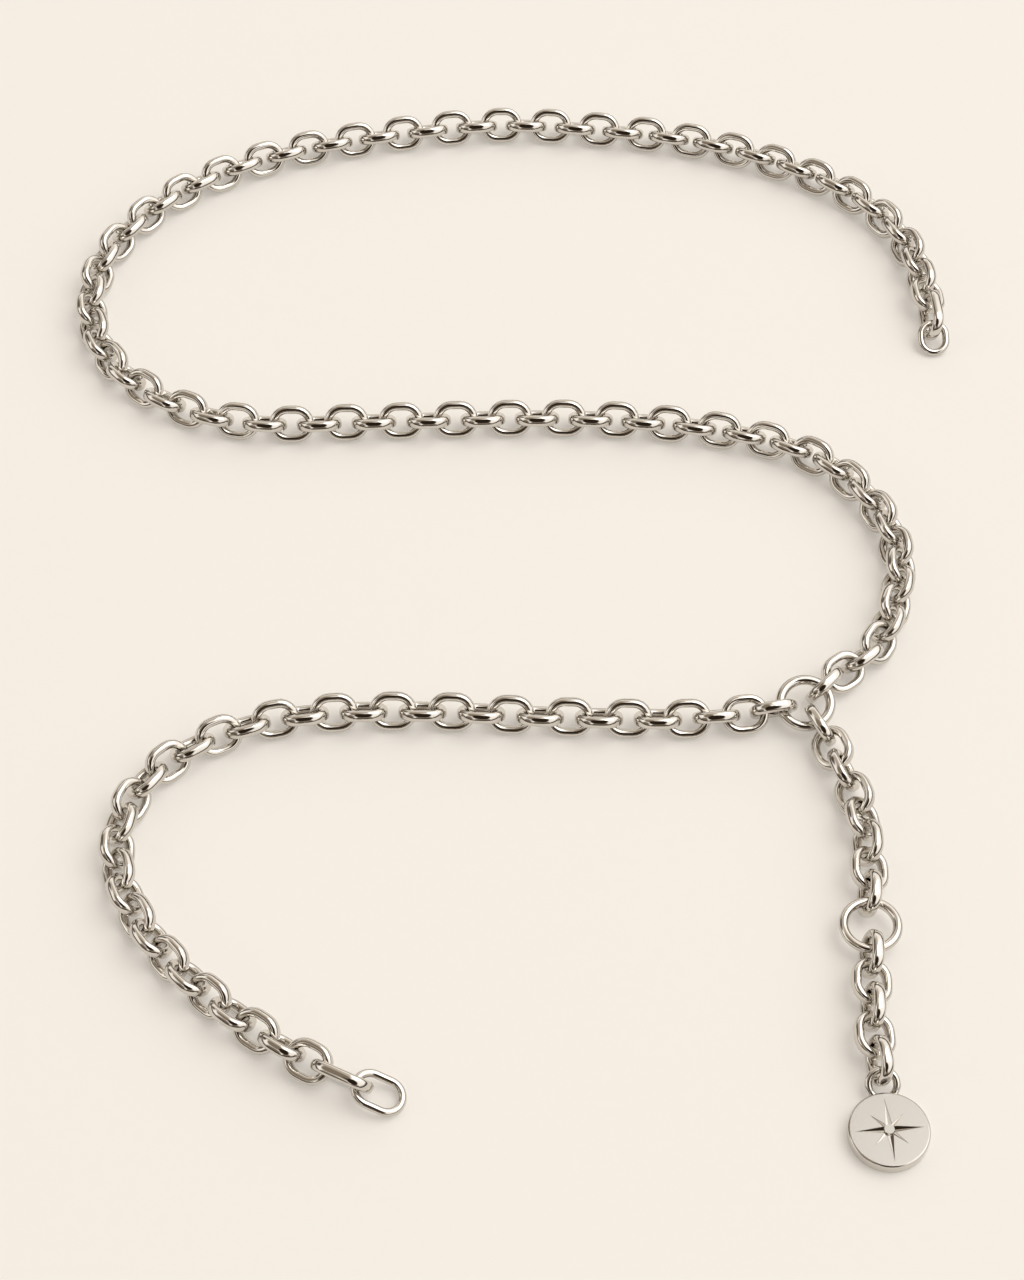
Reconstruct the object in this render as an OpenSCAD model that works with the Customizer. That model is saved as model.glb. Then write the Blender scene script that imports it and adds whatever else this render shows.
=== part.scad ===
// A chunky oval link chain laid out in an S on a flat surface, with a ring that
// joins its two strands, a short drop and a round pendant cut with a star.
// Millimetres. Z is up, the surface is z = 0, and Y runs away from the viewer.

/* [Chain links] */

// Outside length of one chain link
link_length = 11.7; // [11.5:0.1:12.1]
// Outside width of one chain link
link_width = 9.6; // [9.5:0.1:9.9]
// Thickness of the link wire, seen from the link's face
link_wire = 2.1; // [1.8:0.1:2.1]
// Depth of the link wire, from face to face
link_depth = 2.8; // [2.4:0.1:2.8]
// Outside length of the longer link at the free end of each chain
last_link_length = 15; // [12.5:0.5:16]
// Links from the junction ring to the left bend
middle_links = 46; // [42:1:47]
// Links from the left bend to the upper end link
upper_links = 46; // [20:1:46]
// Links from the junction ring to the lower end link
lower_links = 38; // [20:1:38]

/* [Rings and end links] */

// Outside diameter of the ring that joins the strands and the drop
junction_ring_diameter = 14.4; // [14:0.1:15.4]
// Wire thickness of the junction ring
junction_ring_wire = 2.4; // [1.8:0.1:2.5]
// Outside diameter of the flat ring in the drop
drop_ring_diameter = 14.5; // [14:0.1:15.6]
// Wire thickness of the drop ring
drop_ring_wire = 2.2; // [1.8:0.1:2.3]
// Outside length of the plain link at the upper free end
upper_end_length = 9.8; // [9.6:0.2:13]
// Outside width of the plain link at the upper free end
upper_end_width = 8.4; // [8.2:0.2:9.4]
// Outside length of the plain link at the lower free end
lower_end_length = 13; // [11:0.2:15]
// Outside width of the plain link at the lower free end
lower_end_width = 9.4; // [8.4:0.2:10]
// Wire thickness of both plain end links
end_link_wire = 1.9; // [1.6:0.1:2]

/* [Drop and pendant] */

// Links from the junction ring to the drop ring
drop_links = 8; // [6:1:8]
// Which link of the drop carries the small plate, counted from the junction ring
plate_link = 5; // [2:1:6]
// Length of the small plate, along its link
plate_length = 1.4; // [1:0.1:1.5]
// Thickness of the small plate
plate_thickness = 0.8; // [0.6:0.1:1]
// Links from the drop ring to the pendant
pendant_links = 5; // [3:1:5]
// Diameter of the pendant disc
disc_diameter = 18; // [16:0.5:24]
// Thickness of the pendant disc
disc_thickness = 3; // [2.4:0.1:3.4]
// Rounding of the disc's edge
disc_round = 0.5; // [0.3:0.1:1.1]
// Outside diameter of the loop soldered to the disc
bail_diameter = 8; // [7.8:0.1:8.4]
// Wire thickness of that loop
bail_wire = 1.7; // [1.4:0.1:1.7]
// How far the four long arms of the star reach, as a share of the disc's radius
star_reach = 0.85; // [0.6:0.01:0.87]
// How far the four short arms reach, as a share of the disc's radius
star_short_reach = 0.58; // [0.4:0.01:0.62]
// Depth of the star's cut at the middle of the disc
star_depth = 0.5; // [0.3:0.05:0.8]
// Diameter of the small boss at the middle of the star
boss_diameter = 2.2; // [1.6:0.1:3]

/* [Hidden] */

$fn = 48;

// Moves the whole layout so that its outline is centred on x = 0, y = 0
layout_shift = [-0.74, 0.16, 0];

// Where the chain lies: x, y and how much of a link's inside length one link takes up there
junction_place = [71, -40.5];
long_route = [[79, -32, 0.852], [88, -25, 0.852], [93.5, -14, 0.811], [97, 1, 0.801], [95, 14, 0.801],
              [88, 27, 0.801], [77, 37, 0.816], [62, 43, 0.847], [42, 47, 0.888], [15, 49, 0.924],
              [-14, 48.5, 0.934], [-42, 47.5, 0.934], [-61, 47, 0.934], [-78, 50, 0.919],
              [-93, 58, 0.898], [-104, 69, 0.873], [-110, 84, 0.852], [-110, 99, 0.837],
              [-105, 112, 0.837], [-94, 126, 0.842], [-78, 137.5, 0.847], [-58, 146, 0.868],
              [-30, 152.5, 0.914], [-2, 156, 0.924], [26, 154, 0.883], [52, 149.5, 0.821],
              [75, 141, 0.801], [93, 130, 0.801], [105, 116, 0.801], [110, 101, 0.801],
              [111.5, 87, 0.796], [112, 75, 0.796]];
short_route = [[62, -42.5, 0.914], [42, -44.5, 0.934], [12, -44, 0.934], [-17, -42.5, 0.934],
               [-44, -43, 0.934], [-63, -47, 0.934], [-79, -56, 0.909], [-88, -68, 0.873],
               [-90, -83, 0.868], [-84, -99, 0.888], [-73, -113, 0.919], [-58, -126, 0.934],
               [-40, -137.5, 0.914], [-20, -146.5, 0.903]];
drop_route = [[75, -48.5, 0.895], [79, -60, 0.915], [82.5, -72, 0.92], [83, -85, 0.915],
              [82, -98, 0.9], [81.5, -105, 0.9]];
pendant_route = [[81.5, -113, 0.89], [81, -122, 0.89], [81, -132, 0.89], [82, -140, 0.89]];
route_steps = 12;

// How the links lie: each leans on the surface, left and right in turn, and where
// they are bunched each slides to its lower side until it lies close to the next
lean = 45;
lean_bias = 6;
taut_slack = 0.9;
sway_share = 0.4;
end_steepness = 27;
end_ease = 4;

// Slack at the seats, and heights and tilts of the rings and end links
long_ring_slack = 0.7;
lower_ring_slack = 0.3;
drop_start_slack = 1.1;
drop_ring_slack = 0.5;
bail_slack = 0.8;
junction_ring_height = 4.75;
junction_ring_tilt = 13;
drop_ring_height = 4;
end_link_slack = 1.8;
end_link_near_height = 4.5;
lower_end_link_turn = 8;
plate_overlap = 0.4;
bail_reach = 5.9;
bail_tilt = 26;
pendant_lean = 3.4;
star_turn = 1;
star_waist = 0.09;
star_short_waist = 0.06;
boss_rise = 0.15;
boss_root = 0.3;

link_inside = link_length - 2 * link_wire;
last_link_extra = last_link_length - link_length;
junction_inner = junction_ring_diameter / 2 - junction_ring_wire;
drop_inner = drop_ring_diameter / 2 - drop_ring_wire;

// A smooth line through the points of a route, the middle of one span
function along(a, b, c, d, t) =
    (2 * b + (c - a) * t + (2 * a - 5 * b + 4 * c - d) * t * t + (3 * b - a - 3 * c + d) * t * t * t) / 2;

function smooth_spot(p, i, t) =
    let (q = along(p[i - 1], p[i], p[i + 1], p[i + 2], t))
    [q[0], q[1], p[i][2] + (p[i + 1][2] - p[i][2]) * t];

function smooth_line(start, route) =
    let (r = concat([[start[0], start[1], route[0][2]]], route),
         n = len(r),
         p = concat([2 * r[0] - r[1]], r, [2 * r[n - 1] - r[n - 2]]))
    concat([for (i = [1 : n - 1], k = [0 : route_steps - 1]) smooth_spot(p, i, k / route_steps)],
           [r[n - 1]]);

function flat(p) = [p[0], p[1]];

// Steps along a line from joint to joint; a link lies between each two joints
function passed(line, k, p, step) =
    k < len(line) - 2 && norm(flat(line[k + 1]) - p) < step ? passed(line, k + 1, p, step) : k;

function crossing(a, b, p, step) =
    let (d = b - a, f = a - p, qa = d * d, qb = 2 * f * d, qc = f * f - step * step)
    a + d * (sqrt(max(qb * qb - 4 * qa * qc, 0)) - qb) / (2 * qa);

function joints(line, p, count, extra = 0, k = 0) =
    count == 0 ? [p] :
    let (step = link_inside * line[k][2] + (count == 1 ? extra : 0),
         n = passed(line, k, p, step),
         q = crossing(flat(line[n]), flat(line[n + 1]), p, step))
    concat([p], joints(line, q, count - 1, extra, n));

// The place on the inside of a tilted ring where a strand's first link hangs
function seat(centre, toward, radius, tilt) =
    let (a = atan2(toward[1] - centre[1], toward[0] - centre[0]),
         reach = radius / sqrt(pow(cos(a), 2) + pow(sin(a) / cos(tilt), 2)))
    centre + reach * [cos(a), sin(a)];

function heading(a, b) = atan2(b[1] - a[1], b[0] - a[0]);

function ease(i) = max(0, 1 - i / end_ease);

// The roll of link i of n; side is 1 or -1 for the strand's first link
function roll(i, n, side, direction) =
    let (turn = i % 2 == 0 ? side : -side,
         last = (n - 1) % 2 == 0 ? side : -side)
    turn * lean + lean_bias * cos(direction) + end_steepness * (side * ease(i) + last * ease(n - 1 - i));

// Height of a link's middle when it lies on the surface at a roll
function rest_height(r) =
    ((link_width - link_wire) * abs(sin(r)) + (link_depth - link_wire) * abs(cos(r)) + link_wire) / 2;

function link_height(r) = max(rest_height(r), rest_height(lean));

// The joints of each strand
long_line = smooth_line(junction_place, long_route);
long_start = seat(junction_place, long_route[0], junction_inner - long_ring_slack, junction_ring_tilt);
long_links = middle_links + upper_links;
long_joints = joints(long_line, long_start, long_links, last_link_extra);

short_line = smooth_line(junction_place, short_route);
short_start = seat(junction_place, short_route[0], junction_inner - lower_ring_slack, junction_ring_tilt);
short_joints = joints(short_line, short_start, lower_links, last_link_extra);

drop_line = smooth_line(junction_place, drop_route);
drop_start = seat(junction_place, drop_route[0], junction_inner - drop_start_slack, junction_ring_tilt);
drop_joints = joints(drop_line, drop_start, drop_links);
drop_ring_place = drop_joints[drop_links] - [0, drop_inner - drop_ring_slack];

pendant_line = smooth_line(drop_ring_place, pendant_route);
pendant_start = seat(drop_ring_place, pendant_route[0], drop_inner - drop_ring_slack, 0);
pendant_joints = joints(pendant_line, pendant_start, pendant_links);
bail_way = [sin(pendant_lean), -cos(pendant_lean)];
bail_inner = bail_diameter / 2 - bail_wire;
bail_offset = disc_diameter / 2 + bail_reach - bail_diameter / 2;
disc_place = pendant_joints[pendant_links] + (bail_inner - bail_slack + bail_offset) * bail_way;

// The wire of a chain link: flat inside and outside, round on both faces
module link_section() {
    flat_part = link_depth - link_wire;
    square([link_wire, flat_part], center = true);
    for (side = [-1, 1]) {
        translate([0, side * flat_part / 2])
            circle(d = link_wire);
    }
}

module oval(length, width, wire) {
    bend = (width - wire) / 2;
    straight = length - width;
    for (side = [0, 180]) {
        rotate([0, 0, side]) {
            translate([straight / 2, 0, 0])
                rotate([0, 0, -90])
                    rotate_extrude(angle = 180)
                        translate([bend, 0])
                            children();
            translate([-straight / 2, bend, 0])
                rotate([90, 0, 90])
                    linear_extrude(straight)
                        children();
        }
    }
}

module chain_link(length = link_length) {
    oval(length, link_width, link_wire)
        link_section();
}

// How far a link slides to its lower side; more where its joints lie closer together
function sway(a, b, r) = sign(r) * sway_share * max(0, link_inside - norm(b - a) - taut_slack);

module on_link(joint_list, i, side) {
    a = joint_list[i];
    b = joint_list[i + 1];
    direction = heading(a, b);
    r = roll(i, len(joint_list) - 1, side, direction);
    translate([(a[0] + b[0]) / 2, (a[1] + b[1]) / 2, link_height(r)])
        rotate([0, 0, direction])
            translate([0, -sway(a, b, r), 0])
                rotate([r, 0, 0])
                    children();
}

// Links first to last of a strand; the strand's very last link has a length of its own
module strand(joint_list, first, last, side, last_length = link_length) {
    for (i = [first : last]) {
        on_link(joint_list, i, side)
            chain_link(i == len(joint_list) - 2 ? last_length : link_length);
    }
}

module wire_ring(diameter, wire) {
    rotate_extrude()
        translate([(diameter - wire) / 2, 0])
            circle(d = wire);
}

// A plain oval link whose far end lies on the surface; its near end is in the last chain link
module end_link(joint_list, length, width, turn = 0) {
    n = len(joint_list) - 1;
    last_way = heading(joint_list[n - 1], joint_list[n]);
    near = joint_list[n] - end_link_slack * [cos(last_way), sin(last_way)];
    span = length - end_link_wire;
    slope = asin((end_link_near_height - end_link_wire / 2) / span);
    translate([near[0], near[1], end_link_near_height])
        rotate([0, 0, last_way + turn])
            rotate([0, slope, 0])
                translate([span / 2, 0, 0])
                    oval(length, width, end_link_wire)
                        circle(d = end_link_wire);
}

// One arm of the star: a groove, deepest at the middle of the disc
module star_arm(reach, waist) {
    over = 1.2;
    below = -star_depth;
    side = waist * over;
    shoulder = side;
    top = star_depth * over + below;
    polyhedron(
        points = [[0, 0, below], [reach * over, 0, top], [shoulder, side, top],
                  [-side, 0, top], [shoulder, -side, top]],
        faces = [[1, 4, 3, 2], [0, 1, 2], [0, 2, 3], [0, 3, 4], [0, 4, 1]]);
}

module star() {
    radius = disc_diameter / 2;
    for (a = [0 : 90 : 270]) {
        rotate([0, 0, a])
            star_arm(star_reach * radius, star_waist * radius);
        rotate([0, 0, a + 45])
            star_arm(star_short_reach * radius, star_short_waist * radius);
    }
}

module disc_profile() {
    square([disc_diameter / 2 - disc_round, disc_thickness]);
    translate([0, disc_round])
        square([disc_diameter / 2, disc_thickness - 2 * disc_round]);
    for (y = [disc_round, disc_thickness - disc_round]) {
        translate([disc_diameter / 2 - disc_round, y])
            circle(r = disc_round);
    }
}

module upper_end_link() {
    color("silver")
        end_link(long_joints, upper_end_length, upper_end_width);
}

module upper_chain() {
    color("silver")
        strand(long_joints, middle_links, long_links - 1, -1, last_link_length);
}

module middle_chain() {
    color("silver")
        strand(long_joints, 0, middle_links - 1, -1);
}

module junction_ring() {
    color("silver")
        translate([junction_place[0], junction_place[1], junction_ring_height])
            rotate([junction_ring_tilt, 0, 0])
                wire_ring(junction_ring_diameter, junction_ring_wire);
}

module lower_chain() {
    color("silver")
        strand(short_joints, 0, lower_links - 1, 1, last_link_length);
}

module lower_end_link() {
    color("silver")
        end_link(short_joints, lower_end_length, lower_end_width, lower_end_link_turn);
}

module drop_chain() {
    window = link_width - 2 * link_wire;
    color("silver") {
        strand(drop_joints, 0, drop_links - 1, -1);
        on_link(drop_joints, plate_link - 1, -1)
            cube([plate_length, window + 2 * plate_overlap, plate_thickness], center = true);
    }
}

module drop_ring() {
    color("silver")
        translate([drop_ring_place[0], drop_ring_place[1], drop_ring_height])
            wire_ring(drop_ring_diameter, drop_ring_wire);
}

module pendant_chain() {
    color("silver")
        strand(pendant_joints, 0, pendant_links - 1, 1);
}

module compass_pendant() {
    bail_rise = (bail_diameter - bail_wire) / 2 * sin(bail_tilt);
    color("gainsboro")
        translate([disc_place[0], disc_place[1], 0])
            rotate([0, 0, pendant_lean]) {
                difference() {
                    rotate_extrude()
                        disc_profile();
                    translate([0, 0, disc_thickness])
                        rotate([0, 0, star_turn])
                            star();
                }
                translate([0, 0, disc_thickness - star_depth - boss_root])
                    cylinder(d = boss_diameter, h = boss_root + star_depth + boss_rise);
                translate([0, bail_offset, disc_thickness / 2 + bail_rise])
                    rotate([bail_tilt, 0, 0])
                        wire_ring(bail_diameter, bail_wire);
            }
}

translate(layout_shift) {
    upper_end_link();
    upper_chain();
    middle_chain();
    junction_ring();
    lower_chain();
    lower_end_link();
    drop_chain();
    drop_ring();
    pendant_chain();
    compass_pendant();
}
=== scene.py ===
import math
import bmesh
import bpy
import numpy as np
from mathutils import Matrix, Vector


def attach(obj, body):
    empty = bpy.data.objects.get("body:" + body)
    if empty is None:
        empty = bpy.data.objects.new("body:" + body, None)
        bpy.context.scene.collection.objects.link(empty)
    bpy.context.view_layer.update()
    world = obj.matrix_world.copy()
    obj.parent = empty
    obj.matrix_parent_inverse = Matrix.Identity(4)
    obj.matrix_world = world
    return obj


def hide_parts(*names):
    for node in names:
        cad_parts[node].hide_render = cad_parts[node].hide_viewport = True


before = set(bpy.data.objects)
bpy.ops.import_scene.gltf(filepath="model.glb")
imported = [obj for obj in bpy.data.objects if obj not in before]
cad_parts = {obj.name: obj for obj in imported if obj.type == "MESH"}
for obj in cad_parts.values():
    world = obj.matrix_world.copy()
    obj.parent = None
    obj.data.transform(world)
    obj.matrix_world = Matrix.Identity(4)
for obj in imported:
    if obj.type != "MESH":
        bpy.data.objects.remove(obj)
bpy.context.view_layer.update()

scene = bpy.context.scene
mm = 0.001   # sizes in the dictionaries are in mm unless a note says otherwise


def addObject(name, data):
    thing = bpy.data.objects.new(name, data)
    scene.collection.objects.link(thing)
    return thing


def meshFrom(bm, name):
    mesh = bpy.data.meshes.new(name)
    bm.to_mesh(mesh)
    bm.free()
    return mesh


def newMaterial(name):
    material = bpy.data.materials.new(name)
    material.use_nodes = True
    nodes = material.node_tree.nodes
    nodes.clear()
    output = nodes.new("ShaderNodeOutputMaterial")
    shader = nodes.new("ShaderNodeBsdfPrincipled")
    material.node_tree.links.new(shader.outputs["BSDF"], output.inputs["Surface"])
    return material, shader


def addNode(tree, kind, **values):
    node = tree.nodes.new(kind)
    for key, value in values.items():
        if key in node.inputs:
            node.inputs[key].default_value = value
        else:
            setattr(node, key, value)
    return node


def noiseOn(tree, coordinates, scale, detail, stretch=(1, 1, 1)):
    mapping = addNode(tree, "ShaderNodeMapping", Scale=stretch)
    tree.links.new(coordinates, mapping.inputs["Vector"])
    noise = addNode(tree, "ShaderNodeTexNoise", Scale=scale, Detail=detail)
    tree.links.new(mapping.outputs["Vector"], noise.inputs["Vector"])
    return noise.outputs["Fac"]


def remap(tree, value, old, new, soft=False):
    # old and new: the two ends of the range, before and after
    node = addNode(tree, "ShaderNodeMapRange", interpolation_type="SMOOTHSTEP" if soft else "LINEAR")
    for socket, end in zip(("From Min", "From Max", "To Min", "To Max"), (*old, *new)):
        node.inputs[socket].default_value = end
    tree.links.new(value, node.inputs["Value"])
    return node.outputs["Result"]


def blend(tree, factor, first, second):
    # each of the two colours is a colour or another node's output
    node = addNode(tree, "ShaderNodeMix", data_type="RGBA")
    tree.links.new(factor, node.inputs["Factor"])
    colourIn, colourOut = node.inputs[6:8], node.outputs[2]   # its sockets for colours, not numbers
    for socket, colour in zip(colourIn, (first, second)):
        if isinstance(colour, bpy.types.NodeSocket):
            tree.links.new(colour, socket)
        else:
            socket.default_value = (*colour, 1)
    return colourOut


def product(tree, first, second):
    node = addNode(tree, "ShaderNodeMath", operation="MULTIPLY")
    tree.links.new(first, node.inputs[0])
    tree.links.new(second, node.inputs[1])
    return node.outputs["Value"]


def roughen(tree, shader, height, strength, depth):
    bump = addNode(tree, "ShaderNodeBump", Strength=strength, Distance=depth * mm)
    tree.links.new(height, bump.inputs["Height"])
    tree.links.new(bump.outputs["Normal"], shader.inputs["Normal"])


# polished wire: almost a mirror, with faint smears and hairline marks
polish = {
    "colour": (0.68, 0.65, 0.605),
    "duller": (0.61, 0.58, 0.54),
    "colourRange": (0.35, 0.75),     # of the smears' noise
    "roughRange": (0.3, 0.7),
    "roughness": (0.02, 0.07),
    "smearScale": 160.0,
    "smearDetail": 4.0,
    "hairlineScale": 900.0,
    "hairlineDetail": 2.0,
    "hairlineStretch": (1, 6, 1),
    "hairlineBump": 0.03,
    "hairlineDepth": 0.1,
}


def makePolishedMetal():
    material, shader = newMaterial("polishedMetal")
    tree = material.node_tree
    place = addNode(tree, "ShaderNodeTexCoord").outputs["Object"]
    smears = noiseOn(tree, place, polish["smearScale"], polish["smearDetail"])
    share = remap(tree, smears, polish["colourRange"], (0.0, 1.0))
    colour = blend(tree, share, polish["colour"], polish["duller"])
    tree.links.new(colour, shader.inputs["Base Color"])
    rough = remap(tree, smears, polish["roughRange"], polish["roughness"])
    tree.links.new(rough, shader.inputs["Roughness"])
    hairlines = noiseOn(tree, place, polish["hairlineScale"], polish["hairlineDetail"],
                        polish["hairlineStretch"])
    roughen(tree, shader, hairlines, polish["hairlineBump"], polish["hairlineDepth"])
    shader.inputs["Metallic"].default_value = 1.0
    return material


polishedMetal = makePolishedMetal()
print("polished metal made")


# chain links: one finely shaped link where each plain one lies
chainLink = {
    "lengths": (11.7, 15.0),   # a plain link, and the longer one at a free end
    "width": 9.6,
    "wire": 2.1,
    "depth": 2.8,
    "wireSides": 16,
    "bendSteps": 12,
    "plate": (1.4, 6.2, 0.8),  # the small bare plate across one link's window
    "plateEdge": 0.12,
    "plateReach": 2.0,         # a link with a face this near its middle has the plate
    "weld": 0.001,             # corners nearer than this are one
    "cadWeld": 0.002,
    "creaseAngle": 50,         # degrees
}


def makeLinkMesh(length):
    wire, depth = chainLink["wire"] * mm, chainLink["depth"] * mm
    weld = chainLink["weld"] * mm
    bend = (chainLink["width"] - chainLink["wire"]) / 2 * mm
    half = (length - chainLink["width"]) / 2 * mm
    bm = bmesh.new()
    bmesh.ops.create_circle(bm, cap_ends=False, radius=wire / 2, segments=chainLink["wireSides"])
    for side in (1, -1):   # the two halves are drawn apart, so the wire is deeper than it is wide
        outer = [vert for vert in bm.verts if vert.co.y * side > weld]
        bmesh.ops.translate(bm, vec=(0, side * (depth - wire) / 2, 0), verts=outer)
    stand = (Matrix.Translation((half, -bend, 0)) @ Matrix.Rotation(math.pi / 2, 4, "Z")
             @ Matrix.Rotation(math.pi / 2, 4, "X"))
    bmesh.ops.transform(bm, matrix=stand, verts=bm.verts)
    ring = bm.edges[:]
    for side in (1, -1):   # one bend, then the straight run to the other bend
        done = bmesh.ops.spin(bm, geom=ring, cent=(side * half, 0, 0), axis=(0, 0, 1), angle=math.pi,
                              steps=chainLink["bendSteps"], use_merge=False, use_duplicate=False)
        ring = [part for part in done["geom_last"] if isinstance(part, bmesh.types.BMEdge)]
        done = bmesh.ops.extrude_edge_only(bm, edges=ring)
        ends = [part for part in done["geom"] if isinstance(part, bmesh.types.BMVert)]
        ring = [part for part in done["geom"]
                if isinstance(part, bmesh.types.BMEdge) and all(vert in ends for vert in part.verts)]
        bmesh.ops.translate(bm, vec=(-2 * side * half, 0, 0), verts=ends)
    bmesh.ops.remove_doubles(bm, verts=bm.verts, dist=weld)
    bmesh.ops.recalc_face_normals(bm, faces=bm.faces)
    return meshFrom(bm, "linkShape")


def makePlateMesh():
    bm = bmesh.new()
    bmesh.ops.create_cube(bm, size=mm)
    bmesh.ops.scale(bm, vec=chainLink["plate"], verts=bm.verts)
    bmesh.ops.bevel(bm, geom=bm.edges[:], affect="EDGES", offset=chainLink["plateEdge"] * mm, segments=2,
                    profile=0.5, material=-1)
    bmesh.ops.recalc_face_normals(bm, faces=bm.faces)
    return meshFrom(bm, "plateShape")


def facesJoinedTo(start, seen):
    waiting, group = [start], []
    seen.add(start.index)
    while waiting:
        face = waiting.pop()
        group.append(face)
        for edge in face.edges:
            for other in edge.link_faces:
                if other.index not in seen:
                    seen.add(other.index)
                    waiting.append(other)
    return group


def linkLay(group):
    # how a link lies: a matrix with its middle and its length, width and depth directions,
    # its length in mm, and whether a plate crosses its window
    spots = np.array([list(face.calc_center_median()) for face in group])
    areas = np.array([face.calc_area() for face in group])
    corners = np.array([list(vert.co) for face in group for vert in face.verts])
    middle = (spots * areas[:, None]).sum(axis=0) / areas.sum()
    offset = spots - middle
    spread = (offset[:, :, None] * offset[:, None, :] * areas[:, None, None]).sum(axis=0)
    directions = np.linalg.eigh(spread)[1]
    along, across = Vector(directions[:, 2]), Vector(directions[:, 1])
    turn = Matrix((along, across, along.cross(across))).transposed().to_4x4()
    reach = (corners - middle) @ directions[:, 2]
    nearest = np.linalg.norm(offset, axis=1).min()
    place = Matrix.Translation(Vector(middle)) @ turn
    return place, (reach.max() - reach.min()) / mm, nearest < chainLink["plateReach"] * mm


def looseLinks(node):
    # how each separate link of a chain node lies
    bm = bmesh.new()
    bm.from_mesh(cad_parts[node].data)
    bmesh.ops.remove_doubles(bm, verts=bm.verts, dist=chainLink["cadWeld"] * mm)
    bm.faces.index_update()
    seen = set()
    links = [linkLay(facesJoinedTo(face, seen)) for face in bm.faces if face.index not in seen]
    bm.free()
    return links


linkMeshes = {length: makeLinkMesh(length) for length in chainLink["lengths"]}
plateMesh = makePlateMesh()
print("link and plate shaped")


def addShape(bm, shape, place):
    before = len(bm.verts)
    bm.from_mesh(shape)
    bm.verts.ensure_lookup_table()
    bmesh.ops.transform(bm, matrix=place, verts=bm.verts[before:])


def makeChain(node):
    bm = bmesh.new()
    links = looseLinks(node)
    for place, length, hasPlate in links:
        nearest = min(chainLink["lengths"], key=lambda known: abs(known - length))
        addShape(bm, linkMeshes[nearest], place)
        if hasPlate:
            addShape(bm, plateMesh, place)
            print("plate in", node)
    bmesh.ops.recalc_face_normals(bm, faces=bm.faces)
    for face in bm.faces:
        face.smooth = True
    mesh = meshFrom(bm, node + "Links")
    mesh.set_sharp_from_angle(angle=math.radians(chainLink["creaseAngle"]))
    mesh.materials.append(polishedMetal)
    piece = addObject(node + "Links", mesh)
    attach(piece, "root")
    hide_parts(node)
    triangles = sum(len(polygon.vertices) - 2 for polygon in mesh.polygons)
    lengths = sorted({round(length, 1) for _, length, _ in links})
    print(node, "links:", len(links), "lengths:", lengths, "triangles:", triangles)


for chainNode in ("upper_chain", "middle_chain", "lower_chain", "drop_chain", "pendant_chain"):
    makeChain(chainNode)


# the pendant: satin face and boss, polished edge, loop and cuts
pendant = {
    "faceHeight": 3.0,
    "bossTop": 3.2,
    "faceBelow": 0.03,         # how far under the face the satin ends
    "faceColour": (0.40, 0.385, 0.365),
    "rimColour": (0.68, 0.65, 0.605),
    "faceRoughness": 0.30,
    "rimRoughness": 0.09,
    "grainScale": 2600.0,
    "grainDetail": 3.0,
    "grainBump": 0.12,
    "grainDepth": 0.1,
}


def makePendantMetal():
    material, shader = newMaterial("pendantMetal")
    tree = material.node_tree
    place = addNode(tree, "ShaderNodeTexCoord").outputs["Object"]
    split = addNode(tree, "ShaderNodeSeparateXYZ")
    tree.links.new(place, split.inputs["Vector"])
    height, top, edge = pendant["faceHeight"] * mm, pendant["bossTop"] * mm, pendant["faceBelow"] * mm
    above = remap(tree, split.outputs["Z"], (height - 2 * edge, height - edge), (0.0, 1.0))
    below = remap(tree, split.outputs["Z"], (top, top + edge), (1.0, 0.0))
    onFace = product(tree, above, below)
    colour = blend(tree, onFace, pendant["rimColour"], pendant["faceColour"])
    tree.links.new(colour, shader.inputs["Base Color"])
    rough = remap(tree, onFace, (0.0, 1.0), (pendant["rimRoughness"], pendant["faceRoughness"]))
    tree.links.new(rough, shader.inputs["Roughness"])
    grain = noiseOn(tree, place, pendant["grainScale"], pendant["grainDetail"])
    roughen(tree, shader, product(tree, grain, onFace), pendant["grainBump"], pendant["grainDepth"])
    shader.inputs["Metallic"].default_value = 1.0
    return material


def dress(node, material):
    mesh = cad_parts[node].data
    mesh.materials.clear()
    mesh.materials.append(material)


for plainNode in ("upper_end_link", "lower_end_link", "junction_ring", "drop_ring"):
    dress(plainNode, polishedMetal)
dress("compass_pendant", makePendantMetal())
print("rings, end links and pendant dressed")


# the cream surface that the chain lies on
surface = {
    "size": 6.0,               # metres
    "colour": (0.611, 0.593, 0.565),
    "darker": (0.601, 0.583, 0.555),
    "glow": (0.300, 0.283, 0.262),   # a little light of its own keeps the shadows weak
    "fibreScale": 400.0,
    "fibreDetail": 5.0,
    "roughness": 0.9,
    "shine": 0.1,
}


def makeSurface():
    bm = bmesh.new()
    bmesh.ops.create_grid(bm, x_segments=1, y_segments=1, size=surface["size"] / 2)
    mesh = meshFrom(bm, "surface")
    material, shader = newMaterial("creamPaper")
    tree = material.node_tree
    place = addNode(tree, "ShaderNodeTexCoord").outputs["Object"]
    fibres = noiseOn(tree, place, surface["fibreScale"], surface["fibreDetail"])
    colour = blend(tree, fibres, surface["colour"], surface["darker"])
    tree.links.new(colour, shader.inputs["Base Color"])
    shader.inputs["Roughness"].default_value = surface["roughness"]
    shader.inputs["Specular IOR Level"].default_value = surface["shine"]
    shader.inputs["Emission Color"].default_value = (*surface["glow"], 1)
    shader.inputs["Emission Strength"].default_value = 1.0
    mesh.materials.append(material)
    addObject("surface", mesh)


keyLamp = {
    "place": (1.25, 0.45, 2.35),   # metres, as the size is
    "size": (2.0, 2.0),
    "power": 22.0,
    "colour": (1.0, 0.98, 0.945),
}


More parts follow.
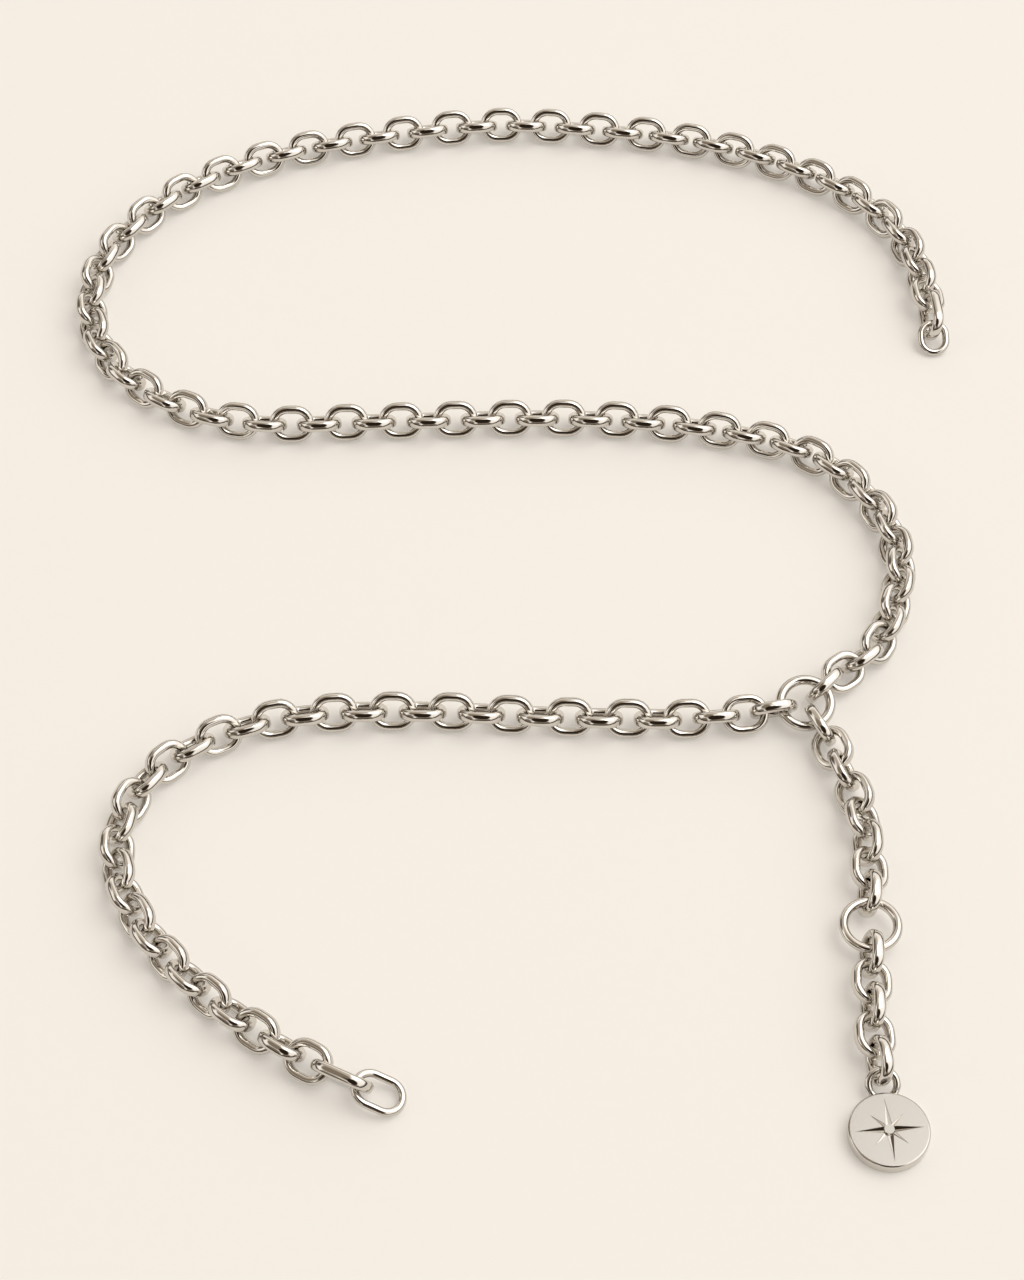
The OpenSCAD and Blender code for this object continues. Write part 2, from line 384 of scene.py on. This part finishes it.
def makeKeyLamp():
    lamp = bpy.data.lights.new("keyLamp", "AREA")
    lamp.shape = "RECTANGLE"
    lamp.size, lamp.size_y = keyLamp["size"]
    lamp.energy = keyLamp["power"]
    lamp.color = keyLamp["colour"]
    thing = addObject("keyLamp", lamp)
    thing.location = keyLamp["place"]
    thing.rotation_euler = (-Vector(keyLamp["place"])).to_track_quat("-Z", "Y").to_euler()


# the room round the object: a pale tent with soft panels, and a dark gap where one looks in from the front
room = {
    "tent": (1.33, 1.265, 1.18),
    "skirt": (0.07, 0.052, 0.036),   # the dark room seen under the tent's edge
    "skirtHeights": (6.0, 20.0),     # degrees, where it is full and where it ends
    # each patch, in degrees: bearing from the front, right positive; height; half-angle where it
    # is full; half-angle where it ends; and then its colour
    "patches": (
        (0, 90, 12, 50, (1.62, 1.56, 1.46)),
        (-140, 58, 12, 44, (0.66, 0.58, 0.49)),
        (100, 38, 16, 50, (1.50, 1.45, 1.38)),
        (-106, 33, 10, 24, (1.35, 1.30, 1.22)),
        (-70, 62, 18, 30, (0.30, 0.245, 0.185)),
        (-122, 27, 9, 20, (0.13, 0.10, 0.075)),
        (-48, 16, 14, 26, (0.24, 0.195, 0.15)),
        (6, 12, 16, 26, (0.30, 0.25, 0.20)),
        (0, 50, 22, 30, (0.030, 0.020, 0.012)),
    ),
}


def makeRoom():
    world = bpy.data.worlds.new("tent")
    scene.world = world
    world.use_nodes = True
    tree = world.node_tree
    way = addNode(tree, "ShaderNodeTexCoord").outputs["Generated"]
    colour = room["tent"]
    for bearing, height, full, end, patch in room["patches"]:
        turn, rise = math.radians(bearing), math.radians(height)
        towards = (math.sin(turn) * math.cos(rise), -math.cos(turn) * math.cos(rise), math.sin(rise))
        near = addNode(tree, "ShaderNodeVectorMath", operation="DOT_PRODUCT")
        tree.links.new(way, near.inputs[0])
        near.inputs[1].default_value = towards
        fade = (math.cos(math.radians(end)), math.cos(math.radians(full)))
        share = remap(tree, near.outputs["Value"], fade, (0.0, 1.0), soft=True)
        colour = blend(tree, share, colour, patch)
    split = addNode(tree, "ShaderNodeSeparateXYZ")
    tree.links.new(way, split.inputs["Vector"])
    heights = [math.sin(math.radians(angle)) for angle in room["skirtHeights"]]
    under = remap(tree, split.outputs["Z"], heights, (1.0, 0.0), soft=True)
    colour = blend(tree, under, colour, room["skirt"])
    tree.links.new(colour, tree.nodes["Background"].inputs["Color"])


camera = {
    "place": (0.0003, -0.4291, 0.5654),   # metres
    "down": 54.0,                         # degrees below the horizon
    "lens": 80.5,
    "sensor": 36.0,
    "clip": (0.05, 20.0),                 # metres
}


def makeCamera():
    data = bpy.data.cameras.new("camera")
    data.sensor_width = camera["sensor"]
    data.lens = camera["lens"]
    data.clip_start, data.clip_end = camera["clip"]
    thing = addObject("camera", data)
    thing.location = camera["place"]
    thing.rotation_euler = (math.radians(90 - camera["down"]), 0, 0)
    scene.camera = thing


makeSurface()
makeKeyLamp()
makeRoom()
makeCamera()
scene.view_settings.view_transform = "Standard"
scene.view_settings.look = "None"
print("surface, lamp, room and camera placed")
